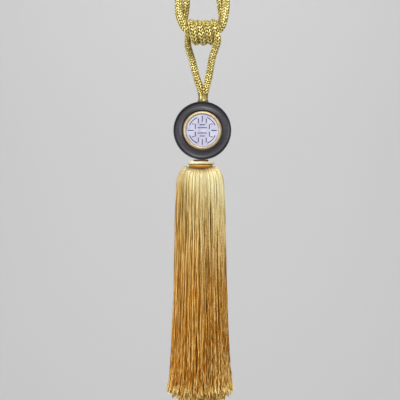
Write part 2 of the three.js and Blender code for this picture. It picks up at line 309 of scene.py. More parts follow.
def braided_cord(name, line, diameter, reference, girth):
    """Strand i of one direction is at angle w s + 36 i and of the other at -w s + 36 i, with
    w = 360 / lead. Its radius is middle + swing q for the one and middle - swing q for the
    other, where q is a soft square wave of five times the angle. girth gives the thickness in
    diameters from the distance along."""
    centre, s = even_steps(eased(line, BRAID_STEP, EASE), BRAID_STEP)
    half = diameter / 2 * girth(s)
    _, side, rise = frames(centre, np.array(reference))
    start = np.tile(TURN * np.arange(STRANDS_EACH_WAY) / STRANDS_EACH_WAY, 2)
    way = np.repeat([1.0, -1.0], STRANDS_EACH_WAY)[:, None]
    angle = way * TURN * s / (BRAID_LEAD * diameter) + start[:, None]
    wave = way * np.tanh(SQUARENESS * np.cos(STRANDS_EACH_WAY / 2 * angle))
    outward = np.cos(angle)[..., None] * side + np.sin(angle)[..., None] * rise
    lines = centre + (half * (STRAND_MIDDLE + STRAND_SWING * wave))[..., None] * outward
    across = np.cross(unit(np.gradient(lines, axis=1)), outward)
    strands = tube_rings(lines, across, STRAND_WIDE * half, STRAND_HIGH * half, STRAND_SIDES)
    core = tube_rings(centre[None], side, CORE * half, CORE * half, STRAND_SIDES)
    # The core's shade is 0, so the ramp paints it near black, as painted shade between the strands.
    shade = np.concatenate([strand_shade(wave), np.zeros((1, len(s), STRAND_SIDES))])
    run = np.broadcast_to(s / MM, shade.shape[:2])
    piece = tubes_mesh(name, np.concatenate([strands, core]), run, shade=shade)
    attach(piece, "root")
    return piece, centre, s[-1]


# %% How thick a cord is along its length
LEG_LENGTH = 66  # mm from either end of the tassel cord to its winding
PRESSED_IN = 12
PRESSED_WIDER = 0.13
NECK_LENGTH = 6
NECKED = 0.22


def even_girth(s):
    """The same all along."""
    return np.ones_like(s)


def pressed_girth(s):
    """Pressed flat and wide where the turns lie side by side, and squeezed at both ends."""
    end = np.minimum(s, s[-1] - s) / MM
    wound = np.clip((end - LEG_LENGTH) / PRESSED_IN, 0, 1)
    return 1 + PRESSED_WIDER * wound - NECKED * np.clip(1 - end / NECK_LENGTH, 0, 1)


# %% Make the three cords
ROUTE_DETAIL = 12
RING_CORD = 8.0 * MM
TASSEL_CORD = 7.5 * MM
FRONT_TO_BACK = (0.0, 1.0, 0.0)
LEFT_TO_RIGHT = (1.0, 0.0, 0.0)


def finish_cord(node, line, diameter, reference, girth):
    line = smooth_route(line, len(line) * ROUTE_DETAIL)
    piece, path, length = braided_cord(f"{node}_braid", line, diameter, reference, girth)
    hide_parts(node)
    print(node, "is", round(length / MM), "mm long")
    return piece


cords = [
    finish_cord("loop_cord_outer", loop_route(1), RING_CORD, FRONT_TO_BACK, even_girth),
    finish_cord("loop_cord_inner", loop_route(-1), RING_CORD, FRONT_TO_BACK, even_girth),
    finish_cord("tassel_cord", tassel_points, TASSEL_CORD, LEFT_TO_RIGHT, pressed_girth),
]

# %% [markdown]
# ## Turned pieces
# The disc and its foot are turned on a lathe, and the cap, ferrule and rim are as round, so each
# is a profile carried round an axis: a short list of corners with a smooth curve through them
# where the cutter leaves a curve.

# %% Carry a profile round an axis
MERGE = 1e-6
SLIVER = 1e-7
SHARP = math.radians(38)


def turned_grid(profile, steps, axis, relief):
    """Point (r, h) of the profile at angle a is r cos(a), r sin(a) across the axis and h along
    it. relief adds its own (r, h) array, worked out from the angle and the place on the profile."""
    angle = TURN * np.arange(steps) / steps
    r, h = (np.repeat(profile[:, k, None], steps, 1) for k in (0, 1))
    if relief is not None:
        more_r, more_h = relief(angle[None], np.arange(len(profile))[:, None], r)
        r, h = r + more_r, h + more_h
    across, up = r * np.cos(angle), r * np.sin(angle)
    return np.stack([across, up, h] if axis == "z" else [across, h, up], -1) * MM


def turned_piece(name, profile, steps, axis="z", at=(0, 0, 0), relief=None):
    """The profile's grid as a mesh. A profile that ends on the axis is closed there by one point,
    since points that meet are merged."""
    profile = np.asarray(profile, float)
    grid = turned_grid(profile, steps, axis, relief)
    index = np.arange(len(profile) * steps).reshape(len(profile), steps)
    after = np.roll(index, -1, axis=1)
    quads = np.stack([index[:-1], after[:-1], after[1:], index[1:]], -1).reshape(-1, 4)
    mesh = bpy.data.meshes.new(name)
    mesh.from_pydata((grid.reshape(-1, 3) + np.array(at) * MM).tolist(), [], quads.tolist())
    work = bmesh.new()
    work.from_mesh(mesh)
    bmesh.ops.remove_doubles(work, verts=work.verts, dist=MERGE)
    bmesh.ops.dissolve_degenerate(work, dist=SLIVER, edges=work.edges)
    bmesh.ops.recalc_face_normals(work, faces=work.faces)
    work.to_mesh(mesh)
    work.free()
    mesh.polygons.foreach_set("use_smooth", np.ones(len(mesh.polygons), bool))
    mesh.set_sharp_from_angle(angle=SHARP)
    return show(name, mesh)


def place(piece, node):
    """Rides on the one body and stands for the node, whose part is hidden."""
    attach(piece, "root")
    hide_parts(node)
    return piece


# %% The disc
DISC_Z = -147.4
DISC_RADIUS = 28.8
disc_face = smooth_route(
    [(20.1, -6.1), (20.4, -6.6), (21.0, -6.45), (22.4, -5.5), (24.2, -4.9), (25.9, -5.1),
     (27.2, -6.0), (27.9, -6.9), (28.4, -6.85), (DISC_RADIUS, -6.1)], 60)
disc_back = [(DISC_RADIUS, 5.6), (28.5, 6.5), (27.6, 7), (0, 7)]
disc_profile = [(0, -3.2), (20.1, -3.2), *disc_face, *disc_back]
disc = turned_piece("disc_turned", disc_profile, 160, "y", (0, 0, DISC_Z))
place(disc, "disc")

# %% The medallion's reeded rim
RIM_REEDS = 96
REED_DEPTH = 0.18
REED_SLANT = 2
REEDED_FROM = 16.9
REEDED_TO = 19.4
FULL_REED = 1.2


def reeds(angle, row, r):
    """Fine reeds across the rim: depth |sin(reeds a / 2 + slant r)|, none at the rim's edges."""
    crown = np.clip((r - REEDED_FROM) * (REEDED_TO - r), 0, FULL_REED)
    wave = np.abs(np.sin(RIM_REEDS * angle / 2 + REED_SLANT * r))
    return np.zeros_like(r), -REED_DEPTH * wave * crown


rim_section = smooth_route(
    [(16.5, -3.5), (16.5, -5.7), (16.8, -6.15), (17.3, -6.25), (18.1, -5.9), (18.9, -5.3),
     (19.45, -4.7), (19.6, -4.3), (19.6, -3.5)], 30)
rim_profile = [*rim_section, (16.5, -3.5)]
rim = turned_piece("medallion_rim_reeded", rim_profile, 576, "y", (0, 0, DISC_Z), reeds)
place(rim, "medallion_rim")

# %% [markdown]
# ## The medallion
# The fretwork plate is flat with slots cut through it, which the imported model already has. A copy
# of it gets a small bevel, because moulded edges catch a line of light that cut ones don't.

# %% Bevel the fretwork
FLAT = math.radians(1)
BEVEL_WIDTH = 0.14 * MM


def fret_copy():
    """The node's triangles as a new mesh, merged and with its flat faces joined up."""
    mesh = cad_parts["medallion"].data.copy()
    mesh.materials.clear()
    work = bmesh.new()
    work.from_mesh(mesh)
    bmesh.ops.remove_doubles(work, verts=work.verts, dist=MERGE)
    bmesh.ops.dissolve_limit(work, angle_limit=FLAT, verts=work.verts, edges=work.edges)
    work.to_mesh(mesh)
    work.free()
    return show("medallion_fret", mesh)


medallion = place(fret_copy(), "medallion")
bevel = medallion.modifiers.new("edges", "BEVEL")
bevel.width = BEVEL_WIDTH
bevel.segments = 2
bevel.limit_method = "ANGLE"

# %% [markdown]
# ## Ferrule, foot, cap and binding
# The ferrule is a small sleeve, and the middle of its underside stands on the disc's round edge.
# The foot is a short neck under the disc. The cap's edge is a rolled flange with slanting ropes,
# pressed from sheet, and the binding below it is one thread wound round the neck of the skirt.

# %% Ferrule and foot
EDGE_GAP = 0.3
FERRULE_X = 0.8
FOOT_X = -1.3

edge_under = DISC_Z + math.sqrt((DISC_RADIUS + EDGE_GAP) ** 2 - FERRULE_X**2)
ferrule_outer = smooth_route(
    [(5.6, -118.3), (5.6, -117.8), (5.1, -117.3), (4.75, -115.3), (4.8, -112.7), (5.1, -110.6),
     (5.15, -110.1), (4.85, -109.9), (4.6, -110.3), (4.4, -112)], 50)
ferrule_profile = [(0, edge_under), *ferrule_outer, (0, -112)]
ferrule = turned_piece("neck_ferrule_turned", ferrule_profile, 96, "z", (FERRULE_X, 0, 0))
place(ferrule, "neck_ferrule")

foot_profile = [(0, -178), (7, -178), (7.5, -177.5), (7.5, -176.8), (7, -176.5), (0, -176.5)]
foot = turned_piece("disc_foot_turned", foot_profile, 96, "z", (FOOT_X, 0, 0))
place(foot, "disc_foot")

# %% Cap
CAP_AT = (-1.35, 0, -178.3)
CAP_ROPES = 56
ROPE_DEPTH = 0.12
ROPE_SLANT = 0.5
ROPED_FROM = 11.2
ROPED_OVER = 1.2
CLOSING_AT = math.radians(214)  # to the left in front
CLOSING_WIDE = 0.32  # radians
CLOSING_OUT = 0.2
CLOSING_UP = 1.3
LAST_LOWER_ROW = 11


def roped(angle, row, r):
    """Slanting ropes round the rolled edge, depth sin(ropes a + slant row), and a bell-shaped
    fuller place where the roll was closed, which rises on the upper side only."""
    twist = ROPE_DEPTH * np.sin(CAP_ROPES * angle + ROPE_SLANT * row)
    away = (angle - CLOSING_AT + math.pi) % TURN - math.pi
    closing = np.exp(-((away / CLOSING_WIDE) ** 2))
    edge = np.clip((r - ROPED_FROM) / ROPED_OVER, 0, 1)
    upper = row > LAST_LOWER_ROW
    return edge * (twist + CLOSING_OUT * closing), edge * CLOSING_UP * closing * upper


cap_section = smooth_route(
    [(10.6, -2.9), (12.2, -2.9), (12.9, -2.5), (13.1, -1.6), (12.9, -0.7), (12.2, -0.2),
     (10.6, -0.15)], 24)
cap_profile = [(0, -2.85), *cap_section, (0, -0.15)]
cap = turned_piece("skirt_cap_roped", cap_profile, 448, "z", CAP_AT, roped)
place(cap, "skirt_cap")

# %% The wound binding
BAND_X = -1.5
BAND_TOP = -181.3
BAND_HEIGHT = 4.2
BAND_RADIUS = 12
BAND_TURNS = 4
BAND_THREAD = 0.53  # half its thickness
BAND_STEPS = 72  # for each turn
BAND_SIDES = 8
DARKER_DOWN = 0.75


def wound_binding():
    """A helix of thread that falls by an even step each turn, shaded darker down to its end."""
    turn = np.linspace(0, BAND_TURNS, BAND_STEPS * BAND_TURNS + 1)
    radius = BAND_RADIUS - BAND_THREAD
    fall = (BAND_HEIGHT - 2 * BAND_THREAD) / BAND_TURNS
    x = BAND_X + radius * np.cos(TURN * turn)
    z = BAND_TOP - BAND_THREAD - fall * turn
    line = np.stack([x, radius * np.sin(TURN * turn), z], -1) * MM
    half = BAND_THREAD * MM
    rings = tube_rings(line[None], np.array([0, 0, 1.0]), half, half, BAND_SIDES)
    shade = 1 - DARKER_DOWN * (turn / BAND_TURNS)[None] ** 1.5
    piece = tubes_mesh("skirt_binding_thread", rings, (turn * TURN * radius)[None], shade=shade)
    return place(piece, "skirt_binding")


binding = wound_binding()
neck_profile = [(0, -185.5), (11.3, -185.5), (11.3, BAND_TOP), (0, BAND_TOP)]
binding_core = turned_piece("skirt_neck", neck_profile, 64, "z", (BAND_X, 0, 0))
place(binding_core, "skirt_binding")

# %% [markdown]
# ## The skirt
# The threads come out from under the binding, arch over the head and hang. Each one is a thin
# tube along a line that is worked out from its place: shells of long threads make the outside,
# and shorter ones fill the inside, where only their cut ends show. Hair curves would be lighter,
# but every program can read tubes.

# %% The skirt's outline
SKIRT_X = -2.0
DOME = np.array([  # r and z of the outermost threads over the head: at the sides, then in front
    (12.3, -185.7, 11.7, -185.9), (12.6, -184.4, 12.3, -186.0), (13.3, -183.6, 13.4, -186.2),
    (14.8, -183.4, 15.2, -186.7), (16.6, -184.3, 17.0, -187.5), (18.2, -185.7, 18.4, -188.5),
    (19.4, -187.3, 19.6, -189.8), (20.5, -189.3, 20.6, -191.3), (21.4, -191.5, 21.5, -193.1),
    (22.2, -194.0, 22.2, -195.2), (22.8, -197.0, 22.8, -197.8), (23.3, -201.0, 23.3, -201.0),
])
HANG = np.array([  # r and z below the head, the same all round
    (23.3, -201), (24.05, -216), (24.6, -230), (25.1, -258), (25.7, -296), (27.1, -334),
    (28.7, -368), (29.4, -382), (31.2, -400), (32.3, -405), (34.2, -428),
])
LONGEST = -419.7
END_RISE = 15


def end_height(share):
    """Where a thread is cut, from its share of the radius: a shallow dome, lowest in the middle."""
    return LONGEST + END_RISE * share**2


def dome_lines(angle, steps):
    """Radius and height over the head. The weight of the side line is the square of cos(angle),
    because the threads stand up beside the binding at the left and right."""
    at = np.linspace(0, len(DOME) - 1, steps)
    rows = np.arange(len(DOME))
    side_r, side_z, front_r, front_z = (np.interp(at, rows, column) for column in DOME.T)
    weight = np.cos(angle)[:, None] ** 2
    return weight * side_r + (1 - weight) * front_r, weight * side_z + (1 - weight) * front_z


# %% [markdown]
# Threads that hang side by side cling together in locks, and between some locks the skirt parts
# and shows its dark inside. Neither is modelled thread by thread: each lock pulls its threads
# towards its middle and sways as one, and each parting pushes the threads beside it away.

# %% Locks
LOCKS = 52
LOCKS_FROM = -190
lock_phase = rng.uniform(0, TURN, (3, LOCKS))
lock_pull = rng.uniform(0.0, 0.3, LOCKS)
lock_sway = rng.uniform(0.2, 1.0, LOCKS)
lock_shade = rng.uniform(-0.08, 0.08, LOCKS)


def lock_of(angle):
    """The lock that a thread hangs in, and its place in it, from -0.5 to 0.5."""
    spot = (angle / TURN * LOCKS) % LOCKS
    number = np.floor(spot).astype(int)
    return number, spot - number - 0.5


print(LOCKS, "locks, each", round(360 / LOCKS, 1), "degrees wide")

# %% Partings
PARTINGS = [  # degrees from the front, the heights between which it opens, and its width in mm
    (-34, -192, -282, 2.0), (-18.7, -216, -282, 1.5), (5.3, -222, -262, 0.9),
    (9.9, -222, -258, 0.9), (23.8, -219, -262, 1.3), (42, -194, -222, 0.9),
    (13.6, -258, -352, 1.5), (-9.5, -288, -330, 1.3), (-22.5, -283, -352, 1.3),
    (-38, -280, -355, 1.2), (40, -250, -352, 1.5), (-24.5, -342, -368, 1.3),
    (-6.8, -345, -402, 1.5), (10.7, -358, -382, 1.1), (19.4, -340, -368, 1.2),
    (35.6, -340, -372, 1.3), (30, -380, -398, 1.2), (-44, -372, -398, 1.1), (62, -230, -300, 1.0),
    (-60, -240, -330, 1.0), (100, -200, -290, 1.4), (125, -280, -380, 1.3), (150, -230, -330, 1.2),
    (175, -340, -400, 1.2), (200, -215, -300, 1.5), (222, -300, -390, 1.2), (245, -240, -330, 1.2),
    (268, -320, -400, 1.1), (285, -205, -270, 1.2),
]
PARTING_REACH = 1.6  # mm to each side in which the push fades


def parted(angle, z, r):
    """Angles pushed half of each parting's width away from it, most at the middle of its height
    and less with the distance from it: sin(pi share)^0.6 times exp(-distance / reach)."""
    for degrees, top, bottom, opening in PARTINGS:
        away = (angle - math.radians(degrees - 90) + math.pi) % TURN - math.pi
        tall = np.sin(math.pi * np.clip((top - z) / (top - bottom), 0, 1)) ** 0.6
        near = np.exp(-np.abs(away) * r / PARTING_REACH)
        angle = angle + 0.5 * np.sign(away) * opening / r * tall * near
    return angle


def hang_in_locks(angle, z, r):
    """Angles moved sideways: towards the middle of the lock and with its two slow waves, which
    both grow below the head, and away from each parting."""
    number, spot = lock_of(angle)
    depth = np.clip((LOCKS_FROM - z) / 60, 0, 1)
    low = np.clip((LOCKS_FROM - z) / 225, 0, 1.1)
    pull = -spot * TURN / LOCKS * lock_pull[number] * depth
    pull = pull * (0.75 + 0.25 * np.sin(z / 23 + lock_phase[0, number]))
    sway = 0.8 * np.sin(-z / 31 + lock_phase[1, number])
    sway = sway + 0.5 * np.sin(-z / 13 + lock_phase[2, number])
    return parted(angle + pull + lock_sway[number] * low * sway / r, z, r)


print(len(PARTINGS), "partings")

# %% [markdown]
# A thread of rayon waves a little all along, and near its cut end it crinkles and goes its own way,
# here more so on the right. Its brightness is a value on the mesh. Part of it is each thread's own
# tone, which the golden ratio deals out, because its multiples never bunch, so neighbours differ.
# The rest is painted light and shade: darker in each deeper shell, black at the roots under the
# binding, lighter or darker by the side of the skirt, and painted glints at the cut ends and on
# crinkles.

# %% Measures of the long threads
THREAD = 0.47  # half a thread's thickness, in mm, as are the waves below
DOME_STEPS = 12
SKIRT_RADIUS = 30
CROWDING = 1.5
LOOSE_END = 26  # height above its cut end in which a thread strays
LEFT_ROUGHNESS = 0.45
SLOW_WAVE_IN = 0.3
SLOW_WAVE_ASIDE = 0.25
CRINKLE_IN = 0.3
CRINKLE_ASIDE = 0.42
GOLDEN = (math.sqrt(5) - 1) / 2
SIDE_DEPTHS = [200, 255, 355, 400]  # how far down, in mm
# Painted light and shade by side: on the right a painted sheen under the head, painted shade low
# down and painted light at the cut ends; on the left painted shade under the head.
RIGHT_PAINTED_SHADES = [0.34, 0.06, -0.34, 0.3]  # pale under the head, dark low down, pale cut ends
LEFT_PAINTED_SHADES = [-0.3, -0.05, 0.03, 0.0]  # darker under the head, then plain


# %% A long thread's line
def hanging_profile(angle, inset, stations):
    """Radius and height of each thread on the outline, over the head and down to its cut end,
    and that end's height. The stations come closer together towards the end, as 1 - (1 - u) to
    the power of the crowding."""
    dome_r, dome_z = dome_lines(angle, DOME_STEPS)
    end = end_height(1 - inset / SKIRT_RADIUS) + rng.normal(0, 1.7, len(angle))
    down = 1 - (1 - np.linspace(0, 1, stations - DOME_STEPS + 1)[1:]) ** CROWDING
    hang_z = HANG[0, 1] + down * (end - HANG[0, 1])[:, None]
    hang_r = np.interp(-hang_z, -HANG[:, 1], HANG[:, 0])
    return np.hstack([dome_r, hang_r]), np.hstack([dome_z, hang_z]), end[:, None]


def thread_lines(turned, r, z):
    """Points at angle turned, radius r and height z about the skirt's middle, in metres, and the
    direction round it at each."""
    lines = np.stack([SKIRT_X + r * np.cos(turned), r * np.sin(turned), z], -1) * MM
    around = np.stack([-np.sin(turned), np.cos(turned), np.zeros_like(z)], -1)
    return lines, around


# %% A long thread's brightness
def own_shade(angle, z, run, phase, rough):
    """A golden-ratio share, its lock's share, two waves along the thread, and the painted light and
    shade that its side of the skirt gets at that height."""
    dealt = np.arange(len(angle)) * GOLDEN % 1
    own = 0.1 + 0.9 * dealt[:, None] + lock_shade[lock_of(angle)[0]][:, None]
    own = own + rough * (0.2 * np.sin(run / 7 + phase[0]) + 0.16 * np.sin(run / 3.1 + phase[2]))
    to_right = np.cos(angle)[:, None]
    own = own + np.clip(to_right, 0, 1) * np.interp(-z, SIDE_DEPTHS, RIGHT_PAINTED_SHADES)
    return own + np.clip(-to_right, 0, 1) * np.interp(-z, SIDE_DEPTHS, LEFT_PAINTED_SHADES)


def long_shade(own, run, depth):
    """Its own shade, evened out on the head, with painted shade: darker in each deeper shell and
    black at the roots under the binding."""
    head = np.clip(1.1 - run / 34, 0, 1)
    shade = np.clip(own * (1 - head) + (0.5 + 0.5 * own) * head, 0.02, 1) * 0.7**depth
    return shade * np.clip((run - rng.uniform(0.5, 3.5, (len(run), 1))) / 4, 0, 1)


def pale_tip(left, longest, start, span):
    """How much painted glint the cut end gets: full at the end, none at a height of the thread's
    own, and times a share of its own, which for many threads is none."""
    height = rng.uniform(*longest, (len(left), 1))
    return np.clip(start - left / height, 0, 1) * rng.uniform(*span, (len(left), 1))


# %% Threads that come over the head
def head_threads(name, depth, count, stations, sides):
    """One shell of threads, depth millimetres inside the outline. Each is moved in by its inset,
    waves in and out and sideways, and strays by growing random steps near its end."""
    angle = TURN * (np.arange(count) + rng.uniform(-0.3, 0.3, count)) / count
    inset = depth + rng.uniform(-0.3, 0.3, count)
    r, z, end = hanging_profile(angle, inset, stations)
    slope_r, slope_z = np.gradient(r, axis=1), np.gradient(z, axis=1)
    size = np.hypot(slope_r, slope_z)
    run = np.hstack([np.zeros((count, 1)), np.cumsum(size[:, :-1], axis=1)])
    left = z - end
    phase = rng.uniform(0, TURN, (4, count, 1))
    grow = np.clip(run / 60, 0.1, 1)
    low = np.clip(1 - left / LOOSE_END, 0, 1) ** 2
    rough = LEFT_ROUGHNESS + 0.55 * np.clip(np.cos(angle), 0, 1)[:, None]
    crinkle = rough * np.clip((run - 60) / 150, 0, 1) ** 1.5
    pace = rng.uniform(1.5, 2.6, (count, 1))
    inward = inset[:, None] * np.clip(0.6 + run / 12, 0, 1)
    inward = inward - SLOW_WAVE_IN * grow * np.sin(run / 17 + phase[0])
    inward = inward - CRINKLE_IN * crinkle * np.sin(run / pace + phase[2])
    r = r + inward * slope_z / size + low * rng.normal(0.1, 0.9, (count, 1))
    z = z - inward * slope_r / size
    turned = hang_in_locks(angle[:, None], z, r)
    aside = SLOW_WAVE_ASIDE * grow * np.sin(run / 9 + phase[1])
    aside = aside + CRINKLE_ASIDE * crinkle * np.sin(run / pace + phase[3])
    turned = turned + (aside + low * rng.normal(0, 1.4, (count, 1))) / r
    lines, around = thread_lines(turned, r, z)
    half = THREAD * rng.uniform(0.75, 1.15, (count, 1)) * np.clip(0.55 + run / 40, 0, 1) * MM
    rings = tube_rings(lines, around, half, half, sides)
    own = own_shade(angle, z, run, phase, rough)
    shade = long_shade(own, run, depth)
    tip = pale_tip(left, (2, 10), 1.2, (-0.7, 1.4))
    # Painted glints on the crinkles, where a thread is bright.
    painted_spark = 1.6 * crinkle * own * np.clip(np.sin(run / pace + phase[3]) - 0.35, 0, 1)
    tip = np.clip(tip * (0.25 + 0.85 * rough), 0, 1) + painted_spark
    piece = tubes_mesh(name, rings, run, shade=shade, tip=np.clip(tip, 0, 1))
    return place(piece, "skirt")


threads = [  # each shell's name, depth, number of threads, stations and sides
    head_threads("skirt_threads_outer", 0.0, 172, 68, 5),
    head_threads("skirt_threads_second", 0.8, 150, 48, 5),
    head_threads("skirt_threads_third", 1.8, 130, 30, 4),
    head_threads("skirt_threads_fourth", 3.0, 110, 24, 4),
]

# %% The inner threads
INNER_STATIONS = 11
INNER_HALF = 0.55
INNER_SIDES = 4
MOST_SHARE = 0.74  # the square of how far out they stand, as a share of the radius


def inner_threads(count):
    """Threads inside the shells: share of the skirt's radius even over its area, hanging from the
    head's underside to the cut ends, which lean and spread a little."""
    share = np.sqrt(rng.uniform(0.0, MOST_SHARE, count))
    angle = rng.uniform(0, TURN, count)
    end = end_height(share) + rng.normal(0, 1.9, count)
    top = rng.uniform(-199, -195, count)
    down = 1 - (1 - np.linspace(0, 1, INNER_STATIONS)) ** CROWDING
    z = top[:, None] + down * (end - top)[:, None]
    r = share[:, None] * np.interp(-z, -HANG[:, 1], HANG[:, 0]) + 0.3
    left = z - end[:, None]
    low = np.clip(1 - left / LOOSE_END, 0, 1) ** 2
    wave = 0.6 * np.sin(-z / 28 + rng.uniform(0, TURN, (count, 1)))
    turned = angle[:, None] + (wave + low * rng.normal(0, 1.2, (count, 1))) / (r + 3)
    lines, around = thread_lines(turned, r, z)
    rings = tube_rings(lines, around, INNER_HALF * MM, INNER_HALF * MM, INNER_SIDES)
    # Painted shade: dark deep inside the skirt and lighter towards the cut ends, where the inner
    # threads show.
    shade = rng.uniform(0.3, 1.0, (count, 1)) * np.clip(1 - left / 14, 0, 1)
    tip = pale_tip(left, (1.5, 6), 1, (-0.8, 1.1))
    tip = np.clip(tip, 0, 1)
    piece = tubes_mesh("skirt_threads_inner", rings, -z, shade=shade, tip=tip)
    return place(piece, "skirt")


threads.append(inner_threads(1500))

# %% The head under the threads
head_line = [
    (0, -199), (19, -199), (18.8, -196), (18, -193.6), (17, -191.6), (15, -189.8), (13, -188.4),
    (11, -187), (0, -187),
]
# The head holds no shade value, so the thread finish paints it in its shaded colours, as painted
# shade inside the skirt.
skirt_head = turned_piece("skirt_head", head_line, 72, "z", (SKIRT_X, 0, 0))
place(skirt_head, "skirt")

# %% [markdown]
# ## Finishes
# Finishes are built from nodes, which keep their detail at any distance. Short helpers add the
# ones that recur. Patterns read Object coordinates, so they stay on a piece as it moves, or the
# values and the UV map of its own mesh.


# %% Colours and new finishes
def colour(code):
    """A colour written as six hex digits, as the linear numbers that shaders use."""
    parts = np.array([int(code[k:k + 2], 16) / 255 for k in (0, 2, 4)])
    linear = np.where(parts <= 0.04045, parts / 12.92, ((parts + 0.055) / 1.055) ** 2.4)
    return (*linear.tolist(), 1.0)


def new_finish(name, **sockets):
    """A material with its shader's sockets set, and its node tree."""
    material = bpy.data.materials.new(name)
    material.use_nodes = True
    shader = material.node_tree.nodes["Principled BSDF"]
    for socket, value in sockets.items():
        shader.inputs[socket.replace("_", " ")].default_value = value
    print("finish", name)
    return material, material.node_tree, shader


# %% Helpers for nodes
def add(tree, kind, links=(), **settings):
    """A node with its settings. Each link is an input, and another node's output or a value."""
    node = tree.nodes.new(kind)
    for key, value in settings.items():
        setattr(node, key, value)
    for socket, value in links:
        if isinstance(value, bpy.types.NodeSocket):
            tree.links.new(value, node.inputs[socket])
        else:
            node.inputs[socket].default_value = value
    return node


def reckon(tree, operation, *values, **settings):
    """One step of arithmetic on numbers or other nodes' outputs."""
    links = list(enumerate(values))
    return add(tree, "ShaderNodeMath", links, operation=operation, **settings).outputs[0]


def spread(tree, source, first, last, low=0.0, high=1.0):
    """From low to high while source goes from first to last, and held beyond them."""
    links = [("Value", source), ("From Min", first), ("From Max", last), ("To Min", low)]
    return add(tree, "ShaderNodeMapRange", [*links, ("To Max", high)]).outputs["Result"]


def mixed(tree, factor, one, other):
    """A colour that goes from one to the other as the factor goes from 0 to 1."""
    links = [("Factor", factor), (6, one), (7, other)]
    return add(tree, "ShaderNodeMix", links, data_type="RGBA").outputs[2]


def value_on(tree, name):
    """The value that the mesh holds under this name."""
    return add(tree, "ShaderNodeAttribute", attribute_name=name).outputs["Fac"]


def split(tree, spot, axis):
    """One coordinate of a place."""
    return add(tree, "ShaderNodeSeparateXYZ", [("Vector", spot)]).outputs[axis]


# %% Places, noise, ramps and bumps
def on_object(tree):
    """The place on the piece, in metres."""
    return add(tree, "ShaderNodeTexCoord").outputs["Object"]


def on_thread(tree):
    """u once round the tube and v along it in millimetres."""
    return add(tree, "ShaderNodeUVMap", uv_map="UVMap").outputs["UV"]


def noise(tree, scale, detail, stretch=None):
    """Soft noise on the piece, with its place first stretched by a factor for each axis."""
    spot = on_object(tree)
    if stretch:
        links = [("Vector", spot), ("Scale", stretch)]
        spot = add(tree, "ShaderNodeMapping", links).outputs["Vector"]
    links = [("Vector", spot), ("Scale", scale), ("Detail", detail)]
    return add(tree, "ShaderNodeTexNoise", links).outputs["Fac"]


def ramp(tree, source, stops):
    """A colour ramp through (place, colour code) stops."""
    node = add(tree, "ShaderNodeValToRGB", [("Fac", source)])
    elements = node.color_ramp.elements
    while len(elements) < len(stops):
        elements.new(0.5)
    for element, (at, code) in zip(elements, stops):
        element.position = at
        element.color = colour(code)
    return node.outputs["Color"]


def dress(tree, shader, base, height, distance, strength):
    """Gives the shader its colour and, as a bump of this many metres, its height."""
    links = [("Height", height), ("Distance", distance), ("Strength", strength)]
    normal = add(tree, "ShaderNodeBump", links).outputs["Normal"]
    tree.links.new(base, shader.inputs["Base Color"])
    tree.links.new(normal, shader.inputs["Normal"])


def wear(material, *pieces):
    """The finish goes on each of the pieces."""
    for piece in pieces:
        piece.data.materials.append(material)


def ply_wave(tree, pace):
    """A sine round and along the thread: two plies, turning once in 1 / pace millimetres."""
    spot = on_thread(tree)
    run = reckon(tree, "MULTIPLY", split(tree, spot, "Y"), pace)
    twist = reckon(tree, "MULTIPLY_ADD", split(tree, spot, "X"), 2.0, run)
    return reckon(tree, "SINE", reckon(tree, "MULTIPLY", twist, TURN))


# %% [markdown]
# The braid's light and shade are painted into its colour. Each strand's shade value is bright on its
# crown and goes olive and then nearly black in the hollows, so a ramp of it gives the metallic yarn
# its depth. A fine noise scatters painted glints, and a wave round each strand suggests its single
# yarns.

# %% Gold braid
# The braid's painted light and shade: near black in the hollows up to a pale painted highlight on
# the crowns.
BRAID_PAINTED_SHADING = [(0.13, "2A1A02"), (0.45, "745A12"), (0.73, "B49E46"), (0.96, "FFF4AE")]
YARNS = 7  # in a strand


def gold_braid():
    """A ramp of 0.8 painted shade + 0.3 noise, which scatters painted glints."""
    material, tree, shader = new_finish("gold_braid", Roughness=0.33, Metallic=0.55)
    ride = reckon(tree, "MULTIPLY", value_on(tree, "shade"), 0.8)
    depth = reckon(tree, "MULTIPLY_ADD", noise(tree, 900.0, 2.0), 0.3, ride)
    yarn = reckon(tree, "MULTIPLY", split(tree, on_thread(tree), "X"), TURN * YARNS)
    yarn = reckon(tree, "SINE", yarn)
    dress(tree, shader, ramp(tree, depth, BRAID_PAINTED_SHADING), yarn, 0.00005, 0.5)
    return material


wear(gold_braid(), *cords)

# %% [markdown]
# The ferrule, rim and cap are plated metal with a satin coat, and each is a little different:
# brushed and greenish, warm, and nearly cream. One function makes all three, with a cloudy
# colour and a bump too fine to see as such, which softens the highlights.


# %% Satin gold
def satin_gold(name, deep, pale, metallic, roughness):
    """Two colours mixed by cloudy noise, and a very fine bump."""
    material, tree, shader = new_finish(name, Roughness=roughness, Metallic=metallic)
    cloud = ramp(tree, noise(tree, 260.0, 3.0), [(0.3, deep), (0.7, pale)])
    dress(tree, shader, cloud, noise(tree, 2500.0, 2.0), 0.00002, 0.4)
    return material


wear(satin_gold("brushed_gold", "847446", "AE9E66", 0.8, 0.34), ferrule)
wear(satin_gold("satin_gold", "AE9870", "C4B08C", 0.45, 0.42), rim)
wear(satin_gold("cream_gold", "C2B68C", "DED4B2", 0.1, 0.42), cap)

# %% [markdown]
# The disc is turned wood under black lacquer. The grain, a stretched noise, hardly shows. The bead
# outside the broad hollow ring and the recess inside it are painted near black, as painted shade.

# %% Lacquered wood
GRAIN = (60.0, 60.0, 900.0)
TO_BEAD = (26.3 * MM, 27.1 * MM)
TO_RECESS = (21.6 * MM, 20.9 * MM)


